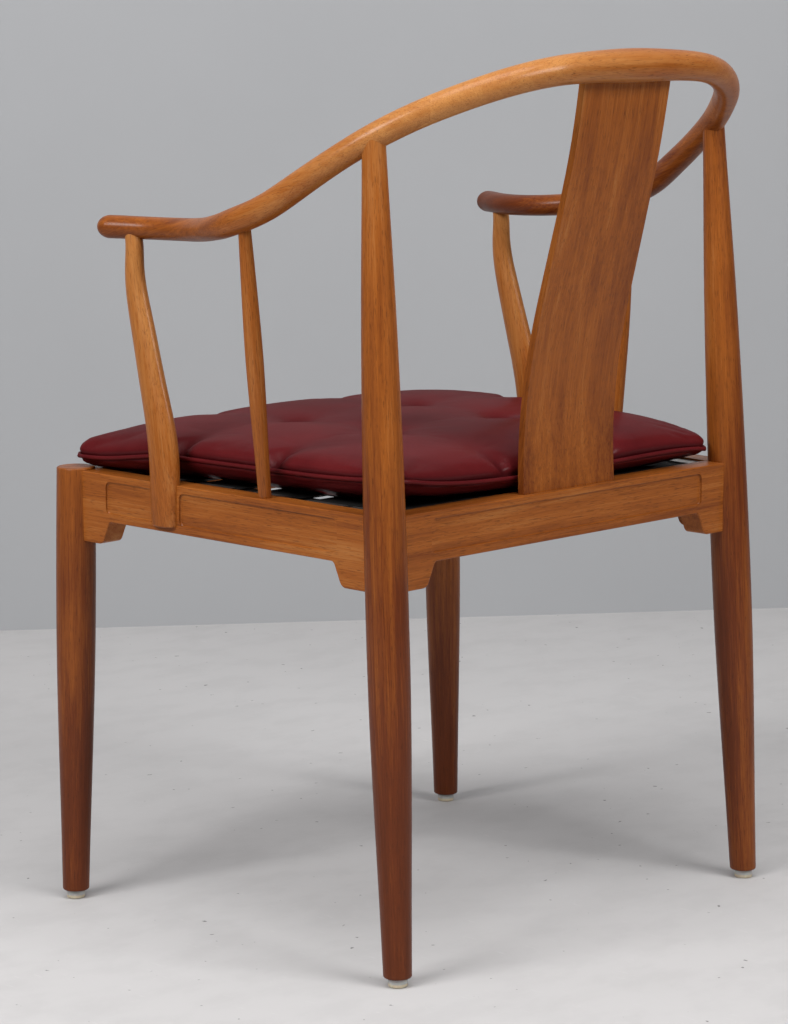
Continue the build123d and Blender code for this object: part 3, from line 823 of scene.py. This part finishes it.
def pad_lines(point):
    """How close a point lies to the seam, to a valley's line and to a tuft, from 0 to 1."""
    across, along, height = on_pad(point)
    inset = edge_inset(across, along)
    above = height - seam_level(across, along)
    seam = smooth_fall(above, SEAM_WIDTH) * smooth_fall(min(0.0, SEAM_REACH - inset), SEAM_WIDTH)
    if above < 0.0:
        return seam, 0.0, 0.0
    line_x = VALLEY_ALONG * pad_half(along)
    near_x = max(smooth_fall(across - x, LINE_WIDTH) for x in (-line_x, line_x))
    near_y = max(smooth_fall(along - y, LINE_WIDTH) for y in VALLEYS_ACROSS)
    line = max(near_x, near_y) * smooth_fall(max(0.0, inset), LINE_FADE)
    tuft = max(smooth_fall(math.hypot(across - x, along - y), TUFT_SPOT)
               for x in (-line_x, line_x) for y in VALLEYS_ACROSS)
    return seam, line, tuft


tuft_along = VALLEYS_ACROSS[0]
tuft_place = on_seat(VALLEY_ALONG * pad_half(tuft_along), tuft_along, SEAM_HEIGHT + CROWN_RISE)
print("at a tuft", [round(number, 2) for number in pad_lines(tuft_place)])

# %% [markdown]
# A voxel remesh turns the slab into even cloth, one closed skin of small squares, and a
# little smoothing takes its steps away. The points that are held down are pinned, and the
# simulation runs for twenty frames with air pressure inside and no gravity. Pressure alone
# would blow the pad up like a balloon, so each point is then put back within a cap.

# %% Blow it up
CLOTH_GRAIN = 0.0045
CLOTH_PRESSURE = 4.0
CLOTH_FRAMES = 20
CLOTH_CAP = 0.0045
PIN_FROM = 0.35
PIN_GAIN = 1.3


def finish_modifier(piece, kind, **settings):
    """Add a modifier with its settings and apply it."""
    bpy.context.view_layer.objects.active = piece
    modifier = piece.modifiers.new(kind.lower(), kind)
    for key, value in settings.items():
        setattr(modifier, key, value)
    bpy.ops.object.modifier_apply(modifier=modifier.name)


def pin(piece):
    """Pin the points of a pad that its seam, its valleys' lines and its tufts hold down."""
    pins = piece.vertex_groups.new(name="pins")
    for vertex in piece.data.vertices:
        weight = max(pad_lines(vertex.co))
        if weight > PIN_FROM:
            pins.add([vertex.index], min(1.0, weight * PIN_GAIN), "REPLACE")
    return pins.name


def blow_up(piece):
    """Swell a pinned pad with a cloth simulation, each point by no more than the cap."""
    before = [vertex.co.copy() for vertex in piece.data.vertices]
    held = pin(piece)
    cloth = piece.modifiers.new("cloth", "CLOTH")
    cloth.settings.use_pressure = True
    cloth.settings.uniform_pressure_force = CLOTH_PRESSURE
    cloth.settings.effector_weights.gravity = 0.0
    cloth.settings.vertex_group_mass = held
    for number in range(1, CLOTH_FRAMES + 1):
        bpy.context.scene.frame_set(number)
    bpy.context.view_layer.objects.active = piece
    bpy.ops.object.modifier_apply(modifier="cloth")
    bpy.context.scene.frame_set(1)
    furthest = 0.0
    for vertex, place in zip(piece.data.vertices, before):
        move = vertex.co - place
        furthest = max(furthest, move.length)
        if move.length > CLOTH_CAP:
            vertex.co = place + move * (CLOTH_CAP / move.length)
    return furthest


finish_modifier(cushion, "REMESH", mode="VOXEL", voxel_size=CLOTH_GRAIN)
finish_modifier(cushion, "SMOOTH", factor=0.5, iterations=1)
print("cloth moved at most", round(blow_up(cushion) * 1000, 1), "mm")

# %% [markdown]
# A subdivision rounds the squares. The stitched lines are narrower than a square was, so
# they are pressed in now, together with a groove on each side of the welt and a slight roll
# of the leather above and below it. Nothing sinks into the straps that the cushion rests on.
# How deep a point lies in one of these lines is stored with it, and the leather reads that
# number for its painted shade and its polish.

# %% Stitched lines and resting face
PAD_BOTTOM = -0.0026
STITCH_DEPTH = 0.0022
GROOVE_DEPTH = 0.0022
ROLL_OUT = 0.0012
ROLL_GAP = 0.0065
ROLL_WIDTH = 0.0045
ROLL_REACH = 0.012
ROLL_FADE = 0.006


def pad_middle(height):
    """The middle of the pad at one height."""
    return on_seat(0.0, PAD_MIDDLE, height)


def rolled(across, along, height):
    """How much of the roll beside the welt a place has, from 0 to 1."""
    off_seam = abs(height - seam_level(across, along)) - ROLL_GAP
    past_wall = max(0.0, edge_inset(across, along) - ROLL_REACH)
    return smooth_fall(off_seam, ROLL_WIDTH) * smooth_fall(past_wall, ROLL_FADE)


def pressed(point, seam, line):
    """A point moved into its stitched line or groove, and kept above the straps."""
    across, along, height = on_pad(point)
    press = STITCH_DEPTH * line ** 4 * (1.0 - seam)
    groove = GROOVE_DEPTH * seam - ROLL_OUT * rolled(across, along, height)
    inward = (pad_middle(height) - point).normalized()
    place = point - SEAT_UP * press + inward * groove
    low = on_pad(place)[2]
    if low < PAD_BOTTOM:
        place += SEAT_UP * (PAD_BOTTOM - low)
    return place


bpy.ops.object.select_all(action="DESELECT")
finish_modifier(cushion, "SUBSURF", levels=1, render_levels=1)
crease = cushion.data.attributes.new("crease", "FLOAT", "POINT")
creases = []
for vertex in cushion.data.vertices:
    seam, line, tuft = pad_lines(vertex.co)
    vertex.co = pressed(vertex.co, seam, line)
    creases.append(max(seam, line ** 2, tuft))
crease.data.foreach_set("value", creases)
bpy.ops.object.select_all(action="DESELECT")
cushion.select_set(True)
bpy.context.view_layer.objects.active = cushion
bpy.ops.object.shade_smooth()
print("cushion", len(cushion.data.polygons), "faces")

# %% [markdown]
# The welt is a leather cord sewn into the seam. A torus couldn't follow the seam's corners
# and droops, so a circle of points is laid along the seam, turned into a curve, given a
# round section and made a mesh again. It sits a little inside the edge, half sunk between
# the two panels.

# %% Welt
WELT_POINTS = 220
WELT_RADIUS = 0.0020
WELT_OUT = -0.0012

bpy.ops.mesh.primitive_circle_add(vertices=WELT_POINTS, radius=1.0)
welt = bpy.context.active_object
welt.name = "cushion_welt"
for vertex in welt.data.vertices:
    reach = max(abs(vertex.co.x), abs(vertex.co.y))
    place = pad_point(vertex.co.x / reach, vertex.co.y / reach, False)
    outward = (place - pad_middle(on_pad(place)[2])).normalized()
    vertex.co = place + outward * WELT_OUT
bpy.ops.object.convert(target="CURVE")
welt = bpy.context.active_object
welt.data.bevel_depth = WELT_RADIUS
welt.data.bevel_resolution = 2
bpy.ops.object.convert(target="MESH")
welt = bpy.context.active_object
bpy.ops.object.shade_smooth()
print("welt", len(welt.data.polygons), "faces")

# %% [markdown]
# Leather shows three scales at once: pebbles under a millimetre, soft wrinkles a few
# millimetres long near the seams, and slow changes of colour. Noise alone makes leather look
# like clay, so the pebbles are Voronoi cells with their edges sunk and darkened as painted
# shade. In the folds, at the tufts and along the seam, the colour is darkened as painted
# shade, and the leather is less polished there.

# %% Leather
LEATHER_RED = (0.114, 0.0098, 0.0115)
LEATHER_DEEP = (0.082, 0.0065, 0.0080)
# Painted shade, for the folds, tufts and seam and the hollows between the pebbles
LEATHER_SHADE = (0.030, 0.0035, 0.0045)
PEBBLE_SCALE = 950.0
PEBBLE_EDGE = 0.22
PEBBLE_WANDER = (0.0008, 0.0008, 0.0008)
WRINKLE_SCALE = (90.0, 150.0, 110.0)
CLOUD_SCALE = 14.0
LEATHER_RELIEF = 0.00035
STORED_NUMBER = 2  # output of the Attribute node


def leather_material():
    shader = Shader("oxblood_leather")
    place = shader.place()
    line = shader.node("ShaderNodeAttribute", {"attribute_name": "crease"}, output=STORED_NUMBER)
    wander = shader.noise(place, 700.0, 2.0, 0.5, output=NOISE_COLOUR)
    bent = shader.stretch(wander, PEBBLE_WANDER, place)
    pebble = shader.node("ShaderNodeTexVoronoi", {"feature": "DISTANCE_TO_EDGE"}, {
        "Vector": bent, "Scale": PEBBLE_SCALE}).step(0.0, PEBBLE_EDGE)
    wrinkle = shader.drawn_noise(place, WRINKLE_SCALE, 4.0, 0.6)
    cloud = shader.noise(place, CLOUD_SCALE, 3.0, 0.55)
    between = 1.0 - pebble
    colour = shader.mix(cloud.step(0.25, 0.75), LEATHER_DEEP, LEATHER_RED)
    # Painted shade: darker colour in the folds, tufts and seam, and between the pebbles
    colour = shader.mix(line * 0.9, colour, LEATHER_SHADE)
    colour = shader.mix(between * 0.25, colour, LEATHER_SHADE)
    relief = pebble * 0.35 + wrinkle * (0.5 + line * 2.0)
    shader.set(
        Base_Color=colour,
        Roughness=0.36 + cloud * 0.10 + line * 0.14 + between * 0.12,
        Normal=shader.bump(relief, LEATHER_RELIEF, 0.35),
        Coat_Weight=0.25 - line * 0.20, Coat_Roughness=0.32, Specular_IOR_Level=0.0)
    return shader.material


leather = leather_material()
for piece in (cushion, welt):
    piece.data.materials.clear()
    piece.data.materials.append(leather)
    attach(piece, "cushion")
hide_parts("cushion_cover_top", "cushion_cover_bottom", "cushion_foam")
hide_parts("cushion_piping")
print("cushion dressed")

# %% [markdown]
# ## Stage
#
# The chair stands on a pale studio floor in front of a grey wall. The wall isn't square to
# the camera, so the line where it meets the floor runs slightly uphill. Flat colours would
# look like paper, so the wall gets slow clouds, and the floor also gets soft smudges, paler
# scuffs and small dark specks. Seen from behind, the wall is clear, so it never hides the
# chair from another side.

# %% Stage finishes
FLOOR_COLOUR = (0.545, 0.532, 0.530)
WALL_COLOUR = (0.380, 0.385, 0.396)
CLOUD_SPREAD = 0.05
SMUDGE_SCALE = (11.0, 17.0, 1.0)
SMUDGE_TONE = 0.90
SCUFF_SCALE = (150.0, 34.0, 1.0)
SCUFF_TONE = 1.12
SPECK_TONE = 0.22
SPECK_SHARE = 0.8
MATT = {"Roughness": 0.75, "Specular_IOR_Level": 0.25}
FACES_AWAY = 6  # output of the Geometry node


def toned(colour, factor):
    """A colour made darker or paler."""
    return tuple(part * factor for part in colour)


def cloudy(shader, place, colour):
    """A painted colour with slow clouds in it."""
    cloud = shader.noise(place, 2.5, 3.0, 0.5)
    return shader.mix(cloud, toned(colour, 1.0 - CLOUD_SPREAD), toned(colour, 1.0 + CLOUD_SPREAD))


def floor_material():
    shader = Shader("floor_paint")
    place = shader.place()
    tint = cloudy(shader, place, FLOOR_COLOUR)
    smudge = shader.drawn_noise(place, SMUDGE_SCALE, 5.0, 0.62).step(0.42, 0.66)
    tint = shader.mix(smudge * 0.5, tint, toned(FLOOR_COLOUR, SMUDGE_TONE))
    scuff = shader.drawn_noise(place, SCUFF_SCALE, 3.0, 0.6).step(0.62, 0.78)
    tint = shader.mix(scuff * 0.5, tint, toned(FLOOR_COLOUR, SCUFF_TONE))
    speck = shader.noise(place, 85.0, 2.0, 0.5).step(0.73, 0.755)
    tint = shader.mix(speck * SPECK_SHARE, tint, toned(FLOOR_COLOUR, SPECK_TONE))
    shader.set(Base_Color=tint, **MATT)
    return shader.material


def wall_material():
    """Paint in front and nothing behind."""
    shader = Shader("wall_paint")
    shader.set(Base_Color=cloudy(shader, shader.place(), WALL_COLOUR), **MATT)
    painted = Value(shader, shader.surface.outputs[0])
    behind = shader.node("ShaderNodeNewGeometry", output=FACES_AWAY)
    clear = shader.node("ShaderNodeBsdfTransparent")
    both = shader.node("ShaderNodeMixShader", {}, {0: behind, 1: painted, 2: clear})
    shader.feed(shader.output.inputs["Surface"], both)
    return shader.material


floor_paint = floor_material()
wall_paint = wall_material()
print("stage finishes", floor_paint.name, wall_paint.name)

# %% [markdown]
# Floor and wall are two flat faces. A rounded studio sweep would hide the line between them,
# and that line tells the eye how far away the wall stands. The wall is placed from the
# camera, straight ahead of it along the floor, and turned a little about that foot.

# %% Floor and wall
FLOOR_REACH = 9.0
WALL_DISTANCE = 4.35  # from the camera, level
WALL_TURN = math.radians(7.6)
WALL_WIDTH = 9.0
WALL_HEIGHT = 5.0


def add_plane(name, corners, material):
    """One face of the stage."""
    mesh = bpy.data.meshes.new(name)
    mesh.from_pydata([tuple(corner) for corner in corners], [], [range(len(corners))])
    item = bpy.data.objects.new(name, mesh)
    bpy.context.scene.collection.objects.link(item)
    mesh.materials.append(material)
    return item


ahead = -direction(CAMERA_AZIMUTH, 0.0)
rightwards = Vector((ahead.y, -ahead.x, 0.0))
wall_foot = Vector((CAMERA_PLACE.x, CAMERA_PLACE.y, 0.0)) + ahead * WALL_DISTANCE
wall_run = rightwards * math.cos(WALL_TURN) + ahead * math.sin(WALL_TURN)
left_foot = wall_foot - wall_run * WALL_WIDTH / 2
right_foot = wall_foot + wall_run * WALL_WIDTH / 2
up = Vector((0, 0, WALL_HEIGHT))
add_plane("wall", [left_foot, right_foot, right_foot + up, left_foot + up], wall_paint)
turns = ((-1, -1), (1, -1), (1, 1), (-1, 1))
add_plane("floor", [Vector((x * FLOOR_REACH, y * FLOOR_REACH, 0)) for x, y in turns], floor_paint)
print("wall", round(WALL_DISTANCE - CAMERA_PLACE.to_2d().length, 2), "m behind the chair")

# %% [markdown]
# Three large soft lamps light the chair: one from its left, one from behind it, and a weaker
# one above. Area lamps give the soft, doubled shadows of a studio, which a sun or a point
# lamp would draw too hard. A dim grey room fills what is left, at a level where each colour
# comes out about as it is written.

# %% Lights
KEY_POWER = 82.0
FILL_POWER = 66.0
TOP_POWER = 48.0
LAMP_SIZE = (1.5, 1.2)
TOP_SIZE = (1.6, 1.6)
SEAT_AIM = (0, 0, 0.4)
ROOM_COLOUR = (0.62, 0.63, 0.65, 1.0)
ROOM_STRENGTH = 0.15


def add_lamp(name, place, aim, size, power):
    """A rectangular lamp that faces a point."""
    data = bpy.data.lights.new(name, "AREA")
    data.shape = "RECTANGLE"
    data.size, data.size_y = size
    data.energy = power
    lamp = bpy.data.objects.new(name, data)
    bpy.context.scene.collection.objects.link(lamp)
    lamp.location = place
    lamp.rotation_mode = "QUATERNION"
    lamp.rotation_quaternion = (Vector(aim) - Vector(place)).to_track_quat("-Z", "Y")
    return lamp


add_lamp("key", (2.9, -0.10, 2.4), SEAT_AIM, LAMP_SIZE, KEY_POWER)
add_lamp("fill", (-0.3, 2.9, 2.4), SEAT_AIM, LAMP_SIZE, FILL_POWER)
add_lamp("top", (0.6, 0.6, 3.0), (0.2, 0.2, 0.4), TOP_SIZE, TOP_POWER)

world = bpy.data.worlds.new("room")
bpy.context.scene.world = world
world.use_nodes = True
background = world.node_tree.nodes["Background"]
background.inputs["Color"].default_value = ROOM_COLOUR
background.inputs["Strength"].default_value = ROOM_STRENGTH
print("lamps", 3, "together", KEY_POWER + FILL_POWER + TOP_POWER, "W")

# %% [markdown]
# ## End
#

# %% End
print("scene built")
